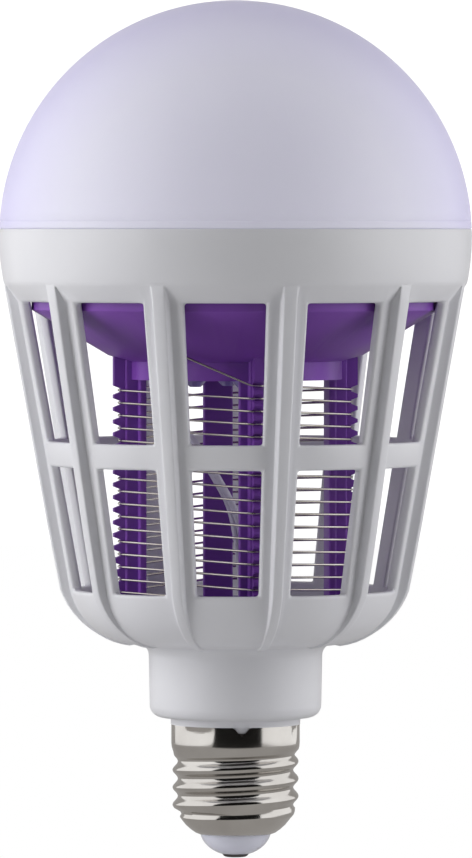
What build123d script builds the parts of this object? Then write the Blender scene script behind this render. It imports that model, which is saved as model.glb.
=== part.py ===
from build123d import *
import math
import os

os.makedirs("parts", exist_ok=True)

# An insect killer light bulb on a large screw cap, in millimetres.
# The origin is the middle of the contact's flat face and +Z runs up the axis to the globe.
# The front faces -Y, and an azimuth is counted in degrees from the front towards +X.

# Clearances
PUSH_FIT = 0.15
LOOSE_FIT = 0.4

# Globe of the white light
DOME_R = 49.2
DOME_CENTRE_Z = 129.3
DOME_WALL = 2.0
DOME_RIM = 1.4
DOME_FLAT_COUNT = 3
SEAM_Z = 131.0
SKIRT_DEPTH = 3.0
SKIRT_WALL = 1.6

# Cage: a collar, a tapered shell with two rows of windows, and a bowl
COLLAR_WALL = 3.0
COLLAR_LOW_Z = 119.65
COLLAR_STEP = 2.3
SHOULDER_INSET = 4.6
SHOULDER_Z = 117.2
SHELL_INSET = 3.85
SHELL_TOP_Z = 115.9
SHELL_WALL = 2.2
SHELL_CORNER_R = 14.4
BOWL_Z = 44.6
BOWL_FLAT_COUNT = 4
RIB_COUNT = 11
RIB_ANGLE = 3.5
RIB_AZIMUTH = 13.6
WINDOW_ANGLE = 21.8
UPPER_SILL_Z = 87.0
LOWER_HEAD_Z = 81.8
LOWER_SILL_Z = 56.0

# Neck below the bowl, and the spigot that carries the screw cap
NECK_R = 18.1
NECK_LOW_R = 17.9
NECK_WALL = 2.2
NECK_FILLET = 2.4
NECK_EDGE_R = 2.5
NECK_FLAT_COUNT = 2
NECK_END_Z = 29.3
NECK_FLOOR = 2.2
LIP_R = 13.5
SPIGOT_WALL = 1.5
SPIGOT_END_Z = 11.0

# Screw cap, with the envelope of its rolled thread
SHELL_SHEET = 0.35
SKIRT_TOP_Z = 27.8
SKIRT_R = 13.4
SKIRT_LOW_Z = 23.6
SKIRT_STEP = 0.8
THREAD_CREST_R = 13.15
THREAD_ROOT_R = 12.05
THREAD_LOW_Z = 8.5
NOSE_R = 10.0
NOSE_Z = 6.0
GLASS_R = 7.7
GLASS_Z = 4.6
GLASS_EDGE_Z = 4.1
GLASS_MID_R = 5.2
GLASS_MID_Z = 1.9
GLASS_TIP_R = 3.1
GLASS_TIP_Z = 0.6
GLASS_TOP_Z = 9.0
CONTACT_R = 2.0
CONTACT_RIM_R = 2.8
CONTACT_STEM_R = 1.0

# Grid frame: a flange in the collar, a cup for the driver and four comb posts
FLANGE_T = 1.8
RIM_INSET = 2.1
RIM_DEPTH = 3.0
CUP_R = 26.5
CUP_DEPTH = 9.5
BOSS_R = 22.2
BOSS_STEP = 1.2
BOSS_DEPTH = 3.8
CUP_WALL = 1.8
POST_COUNT = 4
POST_AZIMUTH = 10.7
POST_IN_R = 19.3
POST_PLATE_T = 1.6
POST_W = 6.3
POST_WEB_R = 23.5
POST_WEB_W = 2.9
COMB_W = 2.0
COMB_R = 25.8
NOTCH_R = 24.4
NOTCH_W = 0.8
NOTCH_MOUTH_W = 1.9
TENON_IN_R = 20.6
TENON_T = 2.4
TENON_W = 3.0

# Grid of two wires wound side by side, each a screw with one straight run from post to post
WIRE_D = 0.5
WIRE_SIDE_COUNT = 6
WIRE_PITCH = 2.62
WIRE_DEPTH = 2.2
WIRE_TAIL = 2.6
LEAD_IN_R = 29.9
LEAD_IN_TURN = 35.6
LEAD_IN_DROP = 1.0
WIRE_HOLE_D = 1.0

# Base plate under the posts, on seats that rise from the bowl
BASE_R = 27.0
BASE_T = 2.5
BASE_TOP_Z = 53.2
BASE_HOLE_R = 6.0
SEAT_W = 3.0
SEAT_IN_R = 16.5
SEAT_OUT_R = 24.0

# Insulated leads from the driver to the cap
CORD_D = 1.4
CORD_GAP = 0.3
CORD_AZIMUTH = 295.5
CORD_TOP_R = 18.9
CORD_TURN_DEPTH = 3.4
CORD_MIDDLE = (8.8, 86.4)
CORD_LOW = (-4.5, 64.5)
CORD_SPREAD = 2.2
CORD_HOLE_D = 1.7
CORD_END_GAP = 0.1
ARC_SHARE = 0.45

# Plate of white lights on three bosses of the cup
LED_BOSS_INSET = 5.5
LED_BOSS_D = 6.0
LED_BOSS_COUNT = 3
LED_BOSS_AZIMUTH = 60.0
LED_PLATE_GAP = 1.45
LED_PLATE_T = 1.5
LED_PLATE_Z = 126.0
LED_OUTER_COUNT = 12
LED_OUTER_R = 30.0
LED_INNER_COUNT = 6
LED_INNER_R = 15.0
LED_SIZE = 2.8
LED_T = 0.7
PILOT_D = 2.4
SCREW_D = 2.4
SCREW_LENGTH = 6.0
SCREW_HEAD_D = 5.0
SCREW_HEAD_T = 1.7

# Driver board on three pillars in the cup, and what stands on it
BOARD_INSET = 9.5
BOARD_T = 1.6
BOARD_Z = 112.6
PILLAR_INSET = 5.5
PILLAR_D = 5.6
PILLAR_COUNT = 3
PILLAR_AZIMUTH = 0.0
BULK_D = 10.0
BULK_H = 10.8
BULK_PLACE = (12, 10)
FILM_SIZE = (13, 6, 9)
FILM_PLACE = (-11, 14)
CHOKE_D = 9.0
CHOKE_CORE_D = 4.5
CHOKE_FLANGE_T = 1.2
CHOKE_H = 10.0
CHOKE_PLACE = (-3, -2)
BRIDGE_SIZE = (6.4, 4.6, 2.6)
BRIDGE_PLACE = (-17, 2)
FUSE_D = 3.2
FUSE_LENGTH = 9.0
FUSE_PLACE = (-17, -8)
CERAMIC_D = 6.0
CERAMIC_T = 2.6
DIODE_D = 2.7
DIODE_LENGTH = 5.2
MULTIPLIER_COUNT = 4
CERAMIC_PLACE = (13, -8)
DIODE_PLACE = (13, -17)

# Ultraviolet lights that look down through the floor of the cup
UV_BOARD_R = 15.0
UV_BOARD_T = 1.0
UV_COUNT = 4
UV_RING_R = 8.5
UV_D = 4.8
UV_HOLE_D = 5.2
UV_LENGTH = 3.4
UV_TIP = 1.2

# Number of sides of the small round things that repeat
SMALL_SIDE_COUNT = 12


def radial_plane(azimuth):
    """Upright plane through the axis: its x runs outwards at this azimuth and its y is up."""
    turn = math.radians(azimuth - 90)
    out = (math.cos(turn), math.sin(turn), 0)
    return Plane(origin=(0, 0, 0), x_dir=out, z_dir=(math.sin(turn), -math.cos(turn), 0))


def place(radius, azimuth, height=0.0, aside=0.0):
    """Point at a radius, azimuth and height, moved aside towards larger azimuths."""
    turn = math.radians(azimuth - 90)
    x = radius * math.cos(turn) - aside * math.sin(turn)
    y = radius * math.sin(turn) + aside * math.cos(turn)
    return Vector(x, y, height)


def shell_r(height, inset=0.0):
    """Radius of the tapered shell's outer face, or of a face inset from it."""
    return shell_top_r - inset - (SHELL_TOP_Z - height) * math.tan(math.radians(shell_taper))


def flats(centre, radius, start, stop, count):
    """Points of a round in an outline, which a few flats keep light to draw."""
    turns = [math.radians(start + (stop - start) * i / count) for i in range(count + 1)]
    return [(centre[0] + radius * math.cos(t), centre[1] + radius * math.sin(t)) for t in turns]


def bowl_corner(foot_r, floor_z, radius):
    """Round between a line with the shell's taper, which meets the floor at foot_r, and the floor."""
    reach = radius * math.tan(math.radians(90 - shell_taper) / 2)
    return flats((foot_r - reach, floor_z + radius), radius, -shell_taper, -90, BOWL_FLAT_COUNT)


def finish(part, label):
    """Name a finished piece and write it."""
    part.label = label
    export_step(part, f"parts/{label}.step")


# Sizes that follow from the others
shoulder_r = DOME_R - SHOULDER_INSET
shell_top_r = DOME_R - SHELL_INSET
bowl_end_r = NECK_R + NECK_FILLET
centre_rise = SHELL_TOP_Z - BOWL_Z - SHELL_CORNER_R
centre_reach = shell_top_r - bowl_end_r
shell_taper = math.degrees(
    math.atan2(centre_reach, centre_rise) - math.asin(SHELL_CORNER_R / math.hypot(centre_reach, centre_rise))
)
rim_r = shoulder_r - RIM_INSET
rim_z = SHOULDER_Z - RIM_DEPTH
cup_z = rim_z - CUP_DEPTH
boss_top_z = cup_z - BOSS_STEP
boss_z = boss_top_z - BOSS_DEPTH
wire_top_z = boss_z - WIRE_DEPTH
cord_turn_z = boss_z - CORD_TURN_DEPTH
led_boss_r = rim_r - LED_BOSS_INSET
board_r = rim_r - BOARD_INSET
pillar_r = board_r - PILLAR_INSET
bore_r = DOME_R - COLLAR_WALL
skirt_out_r = bore_r - PUSH_FIT
skirt_in_r = skirt_out_r - SKIRT_WALL
led_plate_r = skirt_in_r - LED_PLATE_GAP
seam_angle = math.degrees(math.asin((SEAM_Z - DOME_CENTRE_Z) / DOME_R))
collar_low_r = math.sqrt(DOME_R**2 - (DOME_CENTRE_Z - COLLAR_LOW_Z) ** 2)
inner_dome_r = DOME_R - DOME_WALL
inner_dome_angle = math.degrees(math.asin((SEAM_Z + DOME_RIM - DOME_CENTRE_Z) / inner_dome_r))
shoulder_top_z = SHOULDER_Z + FLANGE_T + LOOSE_FIT
spigot_r = THREAD_ROOT_R - SHELL_SHEET - PUSH_FIT
spigot_top_r = SKIRT_R - SHELL_SHEET - PUSH_FIT
spigot_bore_r = spigot_r - SPIGOT_WALL
neck_bore_r = NECK_R - NECK_WALL
flange_r = shoulder_r - PUSH_FIT
flange_top_z = SHOULDER_Z + FLANGE_T
boss_floor_z = boss_z + CUP_WALL
cup_slope = (rim_z - cup_z) / (rim_r - CUP_R)
cup_lift = CUP_WALL * math.sqrt(1 + cup_slope**2)
post_pitch = 360 / POST_COUNT
base_z = BASE_TOP_Z - BASE_T
floor_z = BOWL_Z + SHELL_WALL
cap_skirt_z = SKIRT_LOW_Z + SKIRT_STEP
cap_bore_r = THREAD_ROOT_R - SHELL_SHEET
glass_r = GLASS_R - SHELL_SHEET
collar_low_angle = -math.degrees(math.acos(collar_low_r / DOME_R))
rib_foot_r = collar_low_r - (COLLAR_LOW_Z - BOWL_Z) * math.tan(math.radians(shell_taper))
rib_corner_r = (rib_foot_r - bowl_end_r) / math.tan(math.radians(90 - shell_taper) / 2)
mid_wall = SHELL_WALL / 2
mid_floor_z = BOWL_Z + mid_wall
window_slope = math.tan(math.radians(WINDOW_ANGLE / 2))
window_in_r = (shell_r(LOWER_SILL_Z, SHELL_WALL) - LOOSE_FIT) / math.sqrt(1 + window_slope**2)
comb_in_r = POST_WEB_R - COMB_W / 2
multiplier_pitch = CERAMIC_D + PUSH_FIT
board_top_z = BOARD_Z + BOARD_T
plate_top_z = LED_PLATE_Z + LED_PLATE_T
contact_top_z = GLASS_TOP_Z + CORD_D / 2
wire_r = NOTCH_R + WIRE_D / 2
wire_drop = 2 * WIRE_PITCH / POST_COUNT
wire_bend = COMB_W / 2 + WIRE_D / 4
grid_turns = round((wire_top_z - BASE_TOP_Z) / (2 * WIRE_PITCH) - 0.5)
wire_a = (-1, grid_turns * POST_COUNT + 1, 0)
wire_b = (1, grid_turns * POST_COUNT + POST_COUNT // 2, WIRE_PITCH)

# Milky globe with a rim that sits on the collar and a skirt that plugs into it
with BuildPart() as dome_diffuser:
    with BuildSketch(Plane.XZ):
        with BuildLine():
            outside = CenterArc((0, DOME_CENTRE_Z), DOME_R, seam_angle, 90 - seam_angle)
            inside = Polyline(
                *flats((0, DOME_CENTRE_Z), inner_dome_r, inner_dome_angle, 90, DOME_FLAT_COUNT)
            )
            Line(outside @ 1, inside @ 1)
            Polyline(
                outside @ 0,
                (skirt_out_r, SEAM_Z),
                (skirt_out_r, SEAM_Z - SKIRT_DEPTH),
                (skirt_in_r, SEAM_Z - SKIRT_DEPTH),
                (skirt_in_r, SEAM_Z + DOME_RIM),
                inside @ 0,
            )
        make_face()
    revolve(axis=Axis.Z)
finish(dome_diffuser.part, "dome_diffuser")

# Cage in one moulding, from the collar down to the end of the spigot
with BuildPart() as cage_housing:
    with BuildSketch(Plane.XZ):
        with BuildLine():
            collar = CenterArc((0, DOME_CENTRE_Z), DOME_R, seam_angle, collar_low_angle - seam_angle)
            Polyline(
                collar @ 1,
                (shell_top_r, SHELL_TOP_Z),
                *bowl_corner(shell_r(BOWL_Z), BOWL_Z, SHELL_CORNER_R),
                (NECK_R, BOWL_Z - NECK_FILLET),
                *flats(
                    (NECK_LOW_R - NECK_EDGE_R, NECK_END_Z + NECK_EDGE_R), NECK_EDGE_R, 0, -90, NECK_FLAT_COUNT
                ),
                (LIP_R, NECK_END_Z),
                (LIP_R, SKIRT_TOP_Z),
                (spigot_top_r, SKIRT_TOP_Z),
                (spigot_top_r, cap_skirt_z),
                (spigot_r, cap_skirt_z),
                (spigot_r, SPIGOT_END_Z),
                (spigot_bore_r, SPIGOT_END_Z),
                (spigot_bore_r, NECK_END_Z + NECK_FLOOR),
                (neck_bore_r, NECK_END_Z + NECK_FLOOR),
                (neck_bore_r, floor_z),
                *reversed(bowl_corner(shell_r(floor_z, SHELL_WALL), floor_z, SHELL_CORNER_R - SHELL_WALL)),
                (shell_r(SHOULDER_Z, SHELL_WALL), SHOULDER_Z),
                (shoulder_r, SHOULDER_Z),
                (shoulder_r, shoulder_top_z),
                (bore_r, shoulder_top_z + COLLAR_STEP),
                (bore_r, SEAM_Z),
                collar @ 0,
            )
        make_face()
    revolve(axis=Axis.Z)

    # Two rows of windows whose sides lie on planes through the axis
    for sill_z, head_z in ((LOWER_SILL_Z, LOWER_HEAD_Z), (UPPER_SILL_Z, SHELL_TOP_Z)):
        with BuildSketch(Plane.XY.offset(sill_z)):
            with PolarLocations(0, RIB_COUNT, RIB_AZIMUTH - 90 + 180 / RIB_COUNT):
                Polygon(
                    (window_in_r, -window_in_r * window_slope),
                    (DOME_R, -DOME_R * window_slope),
                    (DOME_R, DOME_R * window_slope),
                    (window_in_r, window_in_r * window_slope),
                    align=None,
                )
        extrude(amount=head_z - sill_z, mode=Mode.SUBTRACT)

    # Ribs that start under the collar, stand proud of the shell and fade out at the neck
    for rib in range(RIB_COUNT):
        with BuildSketch(radial_plane(RIB_AZIMUTH + rib * 360 / RIB_COUNT - RIB_ANGLE / 2)):
            with BuildLine():
                Polyline(
                    (collar_low_r, COLLAR_LOW_Z),
                    *bowl_corner(rib_foot_r, BOWL_Z, rib_corner_r),
                    (bowl_end_r, mid_floor_z),
                    *reversed(
                        bowl_corner(shell_r(mid_floor_z, mid_wall), mid_floor_z, SHELL_CORNER_R - mid_wall)
                    ),
                    (shoulder_r, SHOULDER_Z),
                    close=True,
                )
            make_face()
        revolve(axis=Axis.Z, revolution_arc=RIB_ANGLE)

    # Seats for the base plate, grown out of the bowl below the posts
    for post in range(POST_COUNT):
        with BuildSketch(radial_plane(POST_AZIMUTH + post * post_pitch)):
            with Locations(((SEAT_IN_R + SEAT_OUT_R) / 2, (mid_floor_z + base_z) / 2)):
                Rectangle(SEAT_OUT_R - SEAT_IN_R, base_z - mid_floor_z)
        extrude(amount=SEAT_W / 2, both=True)
finish(cage_housing.part, "cage_housing")

# Rolled shell of the screw cap, drawn to the crests of its thread
with BuildPart() as screw_shell:
    with BuildSketch(Plane.XZ):
        with BuildLine():
            Polyline(
                (GLASS_R, GLASS_Z),
                (NOSE_R, NOSE_Z),
                (THREAD_CREST_R, THREAD_LOW_Z),
                (THREAD_CREST_R, cap_skirt_z),
                (SKIRT_R, cap_skirt_z),
                (SKIRT_R, SKIRT_TOP_Z),
                (SKIRT_R - SHELL_SHEET, SKIRT_TOP_Z),
                (SKIRT_R - SHELL_SHEET, SKIRT_LOW_Z),
                (cap_bore_r, SKIRT_LOW_Z),
                (cap_bore_r, THREAD_LOW_Z),
                (glass_r, NOSE_Z),
                (glass_r, GLASS_Z),
                close=True,
            )
        make_face()
    revolve(axis=Axis.Z)
finish(screw_shell.part, "screw_shell")

# Insulator in the nose of the cap
with BuildPart() as cap_insulator:
    with BuildSketch(Plane.XZ):
        with BuildLine():
            Polyline(
                (CONTACT_STEM_R, GLASS_TIP_Z),
                (GLASS_TIP_R, GLASS_TIP_Z),
                (GLASS_MID_R, GLASS_MID_Z),
                (glass_r, GLASS_EDGE_Z),
                (glass_r, GLASS_TOP_Z),
                (CONTACT_STEM_R, GLASS_TOP_Z),
                close=True,
            )
        make_face()
    revolve(axis=Axis.Z)
finish(cap_insulator.part, "cap_insulator")

# Centre contact: a dished rivet whose stem goes up through the insulator
with BuildPart() as centre_contact:
    with BuildSketch(Plane.XZ):
        with BuildLine():
            Polyline(
                (0, 0),
                (CONTACT_R, 0),
                (CONTACT_RIM_R, GLASS_TIP_Z),
                (CONTACT_STEM_R, GLASS_TIP_Z),
                (CONTACT_STEM_R, contact_top_z),
                (0, contact_top_z),
                close=True,
            )
        make_face()
    revolve(axis=Axis.Z)
finish(centre_contact.part, "centre_contact")


def corner_place(step, rise, aside=0.0):
    """Place where a grid wire crosses a post, so many posts after the left one."""
    azimuth = POST_AZIMUTH + (step - 1) * post_pitch
    return place(wire_r, azimuth, wire_top_z + rise - step * wire_drop, aside)


def notch_heights(post):
    """Heights at which the two wires cross a post, from the top down."""
    heights = []
    for first, last, rise in (wire_a, wire_b):
        for step in range(first, last + 1):
            if (step - 1) % POST_COUNT == post:
                heights.append(wire_top_z + rise - step * wire_drop)
    return sorted(heights, reverse=True)


def comb_outline(post):
    """Edge of a post's comb, with one notch for each crossing of a wire."""
    points = [(comb_in_r, cup_z), (COMB_R, cup_z)]
    for height in notch_heights(post):
        points.append((COMB_R, height + NOTCH_MOUTH_W / 2))
        points.append((NOTCH_R, height + NOTCH_W / 2))
        points.append((NOTCH_R, height - NOTCH_W / 2))
        points.append((COMB_R, height - NOTCH_MOUTH_W / 2))
    return points + [(COMB_R, BASE_TOP_Z), (comb_in_r, BASE_TOP_Z)]


def lead_in_place(wire, height):
    """Place where a wire leaves the cup on its way to its first notch."""
    return place(LEAD_IN_R, POST_AZIMUTH + (wire[0] - 1) * post_pitch - LEAD_IN_TURN, height)


def boss_places():
    """Places of the bosses under the plate of white lights."""
    return [
        place(led_boss_r, LED_BOSS_AZIMUTH + i * 360 / LED_BOSS_COUNT) for i in range(LED_BOSS_COUNT)
    ]


def pillar_places():
    """Places of the pillars under the driver board."""
    return [
        place(pillar_r, PILLAR_AZIMUTH + i * 360 / PILLAR_COUNT) for i in range(PILLAR_COUNT)
    ]


# Room inside the cup, less the bosses and pillars that stand in it
with BuildPart() as cup_room:
    with BuildSketch(Plane.XZ):
        with BuildLine():
            Polyline(
                (0, boss_floor_z),
                (BOSS_R - CUP_WALL, boss_floor_z),
                (BOSS_R - CUP_WALL, boss_top_z + CUP_WALL),
                (CUP_R, cup_z + cup_lift),
                (rim_r - CUP_WALL, rim_z + cup_lift - CUP_WALL * cup_slope),
                (rim_r - CUP_WALL, flange_top_z),
                (0, flange_top_z),
                close=True,
            )
        make_face()
    revolve(axis=Axis.Z)
    with BuildSketch(Plane.XY.offset(boss_floor_z)):
        with Locations(*boss_places()):
            Circle(LED_BOSS_D / 2)
    extrude(amount=flange_top_z - boss_floor_z, mode=Mode.SUBTRACT)
    with BuildSketch(Plane.XY.offset(boss_floor_z)):
        with Locations(*pillar_places()):
            Circle(PILLAR_D / 2)
    extrude(amount=BOARD_Z - boss_floor_z, mode=Mode.SUBTRACT)

# Purple frame that carries the grid, hung by its flange from the shoulder in the collar
with BuildPart() as grid_frame:
    with BuildSketch(Plane.XZ):
        with BuildLine():
            Polyline(
                (0, flange_top_z),
                (flange_r, flange_top_z),
                (flange_r, SHOULDER_Z),
                (rim_r, SHOULDER_Z),
                (rim_r, rim_z),
                (CUP_R, cup_z),
                (BOSS_R, boss_top_z),
                (BOSS_R, boss_z),
                (0, boss_z),
                close=True,
            )
        make_face()
    revolve(axis=Axis.Z)

    # Posts: a back plate and a web, with a tenon into the base plate
    with BuildSketch(Plane.XY.offset(BASE_TOP_Z)):
        with PolarLocations(0, POST_COUNT, POST_AZIMUTH - 90):
            with Locations((POST_IN_R + POST_PLATE_T / 2, 0)):
                Rectangle(POST_PLATE_T, POST_W)
            with Locations(((POST_IN_R + POST_WEB_R) / 2, 0)):
                Rectangle(POST_WEB_R - POST_IN_R, POST_WEB_W)
    extrude(amount=cup_z - BASE_TOP_Z)
    with BuildSketch(Plane.XY.offset(base_z)):
        with PolarLocations(0, POST_COUNT, POST_AZIMUTH - 90):
            with Locations((TENON_IN_R + TENON_T / 2, 0)):
                Rectangle(TENON_T, TENON_W)
    extrude(amount=BASE_T)

    # Comb on the outer edge of each post
    for post in range(POST_COUNT):
        with BuildSketch(radial_plane(POST_AZIMUTH + post * post_pitch)):
            with BuildLine():
                Polyline(*comb_outline(post), close=True)
            make_face()
        extrude(amount=COMB_W / 2, both=True)

    # Hollow of the cup, and the bosses above its mouth
    add(cup_room.part, mode=Mode.SUBTRACT)
    with BuildSketch(Plane.XY.offset(flange_top_z)):
        with Locations(*boss_places()):
            Circle(LED_BOSS_D / 2)
    extrude(amount=LED_PLATE_Z - flange_top_z)

    # Holes for the screws, the ultraviolet lights, the leads and the wires
    with BuildSketch(Plane.XY.offset(LED_PLATE_Z)):
        with Locations(*boss_places()):
            Circle(PILOT_D / 2)
    extrude(amount=-SCREW_LENGTH, mode=Mode.SUBTRACT)
    with BuildSketch(Plane.XY.offset(BOARD_Z)):
        with Locations(*pillar_places()):
            Circle(PILOT_D / 2)
    extrude(amount=BOARD_T - SCREW_LENGTH, mode=Mode.SUBTRACT)
    with BuildSketch(Plane.XY.offset(boss_z)):
        with PolarLocations(UV_RING_R, UV_COUNT, POST_AZIMUTH):
            Circle(UV_HOLE_D / 2)
        with Locations(place(CORD_TOP_R, CORD_AZIMUTH)):
            SlotCenterToCenter(CORD_D + CORD_GAP, CORD_HOLE_D, rotation=CORD_AZIMUTH)
    extrude(amount=CUP_WALL, mode=Mode.SUBTRACT)
    with BuildSketch(Plane.XY.offset(cup_z)):
        with Locations(lead_in_place(wire_a, 0), lead_in_place(wire_b, 0)):
            Circle(WIRE_HOLE_D / 2)
    extrude(amount=rim_z - cup_z, mode=Mode.SUBTRACT)
finish(grid_frame.part, "grid_frame")

# Base plate that closes the foot of the grid
with BuildPart() as grid_base:
    with BuildSketch(Plane.XY.offset(base_z)):
        Circle(BASE_R)
        Circle(BASE_HOLE_R, mode=Mode.SUBTRACT)
        with PolarLocations(0, POST_COUNT, POST_AZIMUTH - 90):
            with Locations((TENON_IN_R + TENON_T / 2, 0)):
                Rectangle(TENON_T + 2 * PUSH_FIT, TENON_W + 2 * PUSH_FIT, mode=Mode.SUBTRACT)
        with Locations(corner_place(wire_a[1], 0, WIRE_TAIL), corner_place(wire_b[1], 0, WIRE_TAIL)):
            Circle(WIRE_HOLE_D / 2, mode=Mode.SUBTRACT)
    extrude(amount=BASE_T)
finish(grid_base.part, "grid_base")


def grid_wire(wire):
    """One wire of the grid: down through the cup, round the posts and into the base plate."""
    first, last, rise = wire
    exit_z = cup_z + (LEAD_IN_R - CUP_R) * cup_slope - LEAD_IN_DROP
    points = [lead_in_place(wire, BOARD_Z), lead_in_place(wire, exit_z)]
    for step in range(first, last):
        points.append(corner_place(step, rise, -wire_bend))
        points.append(corner_place(step, rise, wire_bend))
    points.append(corner_place(last, rise, -wire_bend))
    end = corner_place(last, rise, WIRE_TAIL)
    points += [end, Vector(end.X, end.Y, base_z)]
    with BuildPart() as wound:
        with BuildLine() as path:
            Polyline(*points)
        with BuildSketch(Plane(origin=points[0], z_dir=(0, 0, -1))):
            RegularPolygon(WIRE_D / 2, WIRE_SIDE_COUNT)
        sweep(path=path.wires()[0], transition=Transition.RIGHT)
    return wound.part


finish(grid_wire(wire_a), "grid_wire_a")
finish(grid_wire(wire_b), "grid_wire_b")


def cord(label, points, first_reach):
    """Insulated lead of straight runs, with arcs as large as the runs and its hole allow."""
    radii = []
    for before, point, after in zip(points, points[1:], points[2:]):
        half_turn = math.radians((point - before).get_angle(after - point)) / 2
        reach = ARC_SHARE * min((point - before).length, (after - point).length)
        radii.append((reach if radii else first_reach) / math.tan(half_turn))
    with BuildPart() as lead:
        with BuildLine() as path:
            FilletPolyline(*points, radius=radii)
        with BuildSketch(Plane(origin=points[0], z_dir=points[1] - points[0])):
            Circle(CORD_D / 2)
        sweep(path=path.wires()[0])
    length = path.wires()[0].length
    share = lead.part.volume / (math.pi * CORD_D**2 / 4 * length)
    print(label, "length", round(length, 1), "volume share", round(share, 4))
    print("radii of its arcs", [round(radius, 1) for radius in radii])
    return lead.part


def cord_run(side):
    """Route that the two leads share: through the cup's floor and across the grid to its middle."""
    aside = side * (CORD_D + CORD_GAP) / 2
    places = ((CORD_TOP_R, BOARD_Z), (CORD_TOP_R, cord_turn_z), CORD_MIDDLE, CORD_LOW)
    return [place(r, CORD_AZIMUTH, z, aside) for r, z in places]


# The live lead ends on the contact's stem and the neutral one on the wall of the cap
cord_end_z = SPIGOT_END_Z - CORD_D / 2 - PUSH_FIT
cord_end_r = math.sqrt(cap_bore_r**2 - (CORD_D / 2) ** 2)
live_route = cord_run(-1) + [Vector(0, 0, contact_top_z + CORD_END_GAP)]
neutral_route = cord_run(1) + [
    place(0, CORD_AZIMUTH, cord_end_z, CORD_SPREAD),
    place(0, CORD_AZIMUTH, cord_end_z, cord_end_r),
]
finish(cord("mains_lead_live", live_route, boss_z - cord_turn_z), "mains_lead_live")
finish(cord("mains_lead_neutral", neutral_route, boss_z - cord_turn_z), "mains_lead_neutral")

# Aluminium plate that carries the white lights, and the lights
with BuildPart() as led_plate:
    with BuildSketch(Plane.XY.offset(LED_PLATE_Z)):
        Circle(led_plate_r)
        with Locations(*boss_places()):
            Circle(PILOT_D / 2 + PUSH_FIT, mode=Mode.SUBTRACT)
    extrude(amount=LED_PLATE_T)
finish(led_plate.part, "led_plate")

with BuildPart() as white_leds:
    with BuildSketch(Plane.XY.offset(plate_top_z)):
        with PolarLocations(LED_OUTER_R, LED_OUTER_COUNT):
            Rectangle(LED_SIZE, LED_SIZE)
        with PolarLocations(LED_INNER_R, LED_INNER_COUNT):
            Rectangle(LED_SIZE, LED_SIZE)
    extrude(amount=LED_T)
finish(white_leds.part, "white_leds")


def screws(places, seat_z):
    """Pan-headed screws down through a plate whose top is at seat_z, one at each place."""
    with BuildPart() as group:
        with BuildSketch(Plane.XY.offset(seat_z)):
            with Locations(*places):
                RegularPolygon(SCREW_HEAD_D / 2, SMALL_SIDE_COUNT)
        extrude(amount=SCREW_HEAD_T)
        with BuildSketch(Plane.XY.offset(seat_z)):
            with Locations(*places):
                RegularPolygon(SCREW_D / 2, SMALL_SIDE_COUNT)
        extrude(amount=-SCREW_LENGTH)
    return group.part


finish(screws(boss_places(), plate_top_z), "led_plate_screws")
finish(screws(pillar_places(), board_top_z), "driver_board_screws")

# Driver board, with holes for its screws
with BuildPart() as driver_board:
    with BuildSketch(Plane.XY.offset(BOARD_Z)):
        Circle(board_r)
        with Locations(*pillar_places()):
            Circle(PILOT_D / 2 + PUSH_FIT, mode=Mode.SUBTRACT)
    extrude(amount=BOARD_T)
finish(driver_board.part, "driver_board")

# What stands on the board: mains side first, then the multiplier that charges the grid
with BuildPart() as bulk_capacitor:
    with BuildSketch(Plane.XY.offset(board_top_z)):
        with Locations(BULK_PLACE):
            Circle(BULK_D / 2)
    extrude(amount=BULK_H)
finish(bulk_capacitor.part, "bulk_capacitor")

with BuildPart() as film_capacitor:
    with BuildSketch(Plane.XY.offset(board_top_z)):
        with Locations(FILM_PLACE):
            Rectangle(FILM_SIZE[0], FILM_SIZE[1])
    extrude(amount=FILM_SIZE[2])
finish(film_capacitor.part, "film_capacitor")

with BuildPart() as bridge_rectifier:
    with BuildSketch(Plane.XY.offset(board_top_z)):
        with Locations(BRIDGE_PLACE):
            Rectangle(BRIDGE_SIZE[0], BRIDGE_SIZE[1])
    extrude(amount=BRIDGE_SIZE[2])
finish(bridge_rectifier.part, "bridge_rectifier")

with BuildPart() as drum_choke:
    for height, thickness, width in (
        (0, CHOKE_FLANGE_T, CHOKE_D),
        (CHOKE_FLANGE_T, CHOKE_H - 2 * CHOKE_FLANGE_T, CHOKE_CORE_D),
        (CHOKE_H - CHOKE_FLANGE_T, CHOKE_FLANGE_T, CHOKE_D),
    ):
        with BuildSketch(Plane.XY.offset(board_top_z + height)):
            with Locations(CHOKE_PLACE):
                Circle(width / 2)
        extrude(amount=thickness)
finish(drum_choke.part, "drum_choke")

with BuildPart() as fusible_resistor:
    with BuildSketch(Plane.XZ.offset(-FUSE_PLACE[1] - FUSE_LENGTH / 2)):
        with Locations((FUSE_PLACE[0], board_top_z + FUSE_D / 2)):
            Circle(FUSE_D / 2)
    extrude(amount=FUSE_LENGTH)
finish(fusible_resistor.part, "fusible_resistor")

with BuildPart() as multiplier_capacitors:
    with BuildSketch(Plane.XZ.offset(-CERAMIC_PLACE[1] - CERAMIC_T / 2)):
        with Locations((CERAMIC_PLACE[0], board_top_z + CERAMIC_D / 2)):
            with GridLocations(multiplier_pitch, 0, MULTIPLIER_COUNT, 1):
                RegularPolygon(CERAMIC_D / 2, SMALL_SIDE_COUNT)
    extrude(amount=CERAMIC_T)
finish(multiplier_capacitors.part, "multiplier_capacitors")

with BuildPart() as multiplier_diodes:
    with BuildSketch(Plane.XZ.offset(-DIODE_PLACE[1] - DIODE_LENGTH / 2)):
        with Locations((DIODE_PLACE[0], board_top_z + DIODE_D / 2)):
            with GridLocations(multiplier_pitch, 0, MULTIPLIER_COUNT, 1):
                RegularPolygon(DIODE_D / 2, SMALL_SIDE_COUNT)
    extrude(amount=DIODE_LENGTH)
finish(multiplier_diodes.part, "multiplier_diodes")

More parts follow.
